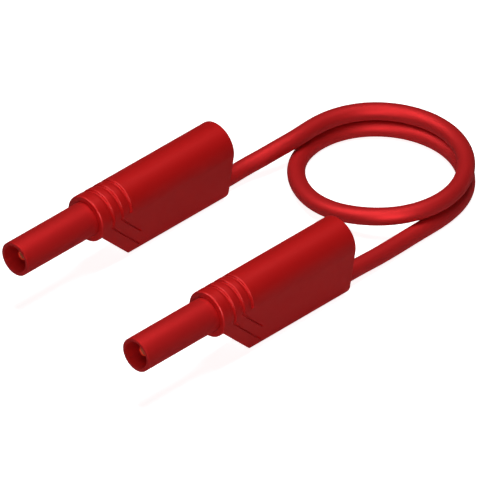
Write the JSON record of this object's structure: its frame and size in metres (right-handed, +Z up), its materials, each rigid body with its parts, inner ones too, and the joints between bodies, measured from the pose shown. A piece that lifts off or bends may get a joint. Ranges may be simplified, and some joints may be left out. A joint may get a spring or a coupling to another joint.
{
  "type": "safety test lead",
  "caption": "Short flexible test lead with a stackable 4 mm safety plug on each end, each with a rigid sleeve round its pin and a rear socket.",
  "frame": {"origin": "bottom centre of the box round the two plugs as they stand on their keels, without the free cable", "axes": "+X back along both plugs, from their noses to their cables; +Y towards the plug that lies further back; +Z up"},
  "size_m": [0.1163, 0.0544, 0.0189],
  "materials": {
    "grip_plastic": "satin moulded red plastic",
    "sleeve_plastic": "smooth moulded red plastic",
    "guard_plastic": "smooth moulded red plastic",
    "cable_jacket": "soft red jacket with a silky sheen",
    "gilt_brass": "thin gold plating on turned brass",
    "spring_bronze": "gold plated spring strip",
    "socket_brass": "turned brass",
    "tinned_copper": "tinned strip",
    "bare_copper": "bare stranded copper"
  },
  "bodies": {
    "root": {"near_housing": "grip_plastic", "near_shroud": "sleeve_plastic", "near_contact_pin": "gilt_brass", "near_lamella_cage": "spring_bronze", "near_rear_socket": "socket_brass", "near_socket_guard": "guard_plastic", "near_crimp_lug": "tinned_copper", "near_conductor": "bare_copper", "near_cable_end": "cable_jacket", "far_housing": "grip_plastic", "far_shroud": "sleeve_plastic", "far_contact_pin": "gilt_brass", "far_lamella_cage": "spring_bronze", "far_rear_socket": "socket_brass", "far_socket_guard": "guard_plastic", "far_crimp_lug": "tinned_copper", "far_conductor": "bare_copper", "far_cable_end": "cable_jacket", "cable": "cable_jacket"}
  },
  "joints": []
}
